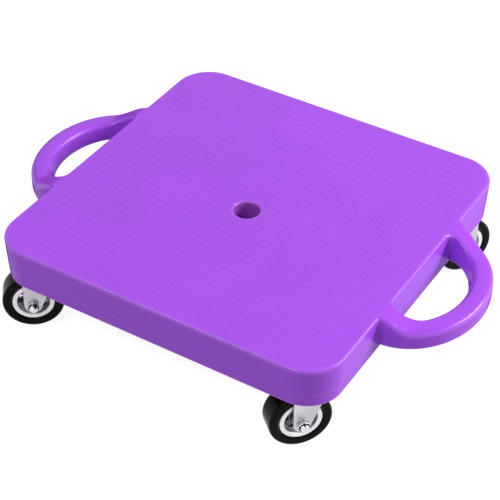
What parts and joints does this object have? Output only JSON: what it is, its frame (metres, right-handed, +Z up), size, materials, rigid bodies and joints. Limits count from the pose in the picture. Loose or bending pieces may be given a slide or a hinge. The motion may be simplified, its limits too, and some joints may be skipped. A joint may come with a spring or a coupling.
{
  "type": "scooter board",
  "caption": "Low square scooter board for sitting or kneeling on: plastic deck with a D handle at each side and a through hole, rolling on swivel casters.",
  "frame": {"origin": "on the floor under the middle of the deck", "axes": "+X towards the right handle, +Y towards the back edge, +Z up"},
  "size_m": [0.4086, 0.3011, 0.0933],
  "materials": {
    "deck_plastic": "satin moulded purple, fine square grain on the deck's top",
    "tyre_rubber": "glossy black",
    "hub_plastic": "pale satin grey",
    "zinc_steel": "bright zinc plating",
    "bearing_steel": "bright bearing steel",
    "nut_chrome": "mirror chrome"
  },
  "bodies": {
    "board": {"deck": "deck_plastic", "front_right_plate": "zinc_steel", "front_right_bearing_cup": "zinc_steel", "front_right_kingpin": "zinc_steel", "front_right_screw_1": "zinc_steel", "front_right_screw_2": "zinc_steel", "front_right_screw_3": "zinc_steel", "front_right_screw_4": "zinc_steel", "front_left_plate": "zinc_steel", "front_left_bearing_cup": "zinc_steel", "front_left_kingpin": "zinc_steel", "front_left_screw_1": "zinc_steel", "front_left_screw_2": "zinc_steel", "front_left_screw_3": "zinc_steel", "front_left_screw_4": "zinc_steel", "back_right_plate": "zinc_steel", "back_right_bearing_cup": "zinc_steel", "back_right_kingpin": "zinc_steel", "back_right_screw_1": "zinc_steel", "back_right_screw_2": "zinc_steel", "back_right_screw_3": "zinc_steel", "back_right_screw_4": "zinc_steel", "back_left_plate": "zinc_steel", "back_left_bearing_cup": "zinc_steel", "back_left_kingpin": "zinc_steel", "back_left_screw_1": "zinc_steel", "back_left_screw_2": "zinc_steel", "back_left_screw_3": "zinc_steel", "back_left_screw_4": "zinc_steel"},
    "front_right_swivel": {"front_right_ball_ring": "bearing_steel", "front_right_fork": "zinc_steel", "front_right_axle_bolt": "zinc_steel", "front_right_axle_nut": "nut_chrome", "front_right_axle_sleeve": "bearing_steel"},
    "front_right_wheel": {"front_right_hub": "hub_plastic", "front_right_tyre": "tyre_rubber"},
    "front_left_swivel": {"front_left_ball_ring": "bearing_steel", "front_left_fork": "zinc_steel", "front_left_axle_bolt": "zinc_steel", "front_left_axle_nut": "nut_chrome", "front_left_axle_sleeve": "bearing_steel"},
    "front_left_wheel": {"front_left_hub": "hub_plastic", "front_left_tyre": "tyre_rubber"},
    "back_right_swivel": {"back_right_ball_ring": "bearing_steel", "back_right_fork": "zinc_steel", "back_right_axle_bolt": "zinc_steel", "back_right_axle_nut": "nut_chrome", "back_right_axle_sleeve": "bearing_steel"},
    "back_right_wheel": {"back_right_hub": "hub_plastic", "back_right_tyre": "tyre_rubber"},
    "back_left_swivel": {"back_left_ball_ring": "bearing_steel", "back_left_fork": "zinc_steel", "back_left_axle_bolt": "zinc_steel", "back_left_axle_nut": "nut_chrome", "back_left_axle_sleeve": "bearing_steel"},
    "back_left_wheel": {"back_left_hub": "hub_plastic", "back_left_tyre": "tyre_rubber"}
  },
  "joints": [
    {"name": "front_right_swivel_turn", "type": "hinge", "parent": "board", "child": "front_right_swivel", "pos_m": [0.1235, -0.1155, 0.058], "axis": [0, 0, 1], "continuous": true},
    {"name": "front_right_wheel_spin", "type": "hinge", "parent": "front_right_swivel", "child": "front_right_wheel", "pos_m": [0.11563, -0.12456, 0.025], "axis": [0.7547, -0.6561, 0], "continuous": true},
    {"name": "front_left_swivel_turn", "type": "hinge", "parent": "board", "child": "front_left_swivel", "pos_m": [-0.1235, -0.1155, 0.058], "axis": [0, 0, 1], "continuous": true},
    {"name": "front_left_wheel_spin", "type": "hinge", "parent": "front_left_swivel", "child": "front_left_wheel", "pos_m": [-0.13296, -0.12289, 0.025], "axis": [0.6157, -0.788, 0], "continuous": true},
    {"name": "back_right_swivel_turn", "type": "hinge", "parent": "board", "child": "back_right_swivel", "pos_m": [0.1235, 0.1155, 0.058], "axis": [0, 0, 1], "continuous": true},
    {"name": "back_right_wheel_spin", "type": "hinge", "parent": "back_right_swivel", "child": "back_right_wheel", "pos_m": [0.1295, 0.12589, 0.025], "axis": [-0.866, 0.5, 0], "continuous": true},
    {"name": "back_left_swivel_turn", "type": "hinge", "parent": "board", "child": "back_left_swivel", "pos_m": [-0.1235, 0.1155, 0.058], "axis": [0, 0, 1], "continuous": true},
    {"name": "back_left_wheel_spin", "type": "hinge", "parent": "back_left_swivel", "child": "back_left_wheel", "pos_m": [-0.13345, 0.10879, 0.025], "axis": [0.5592, -0.829, 0], "continuous": true}
  ]
}
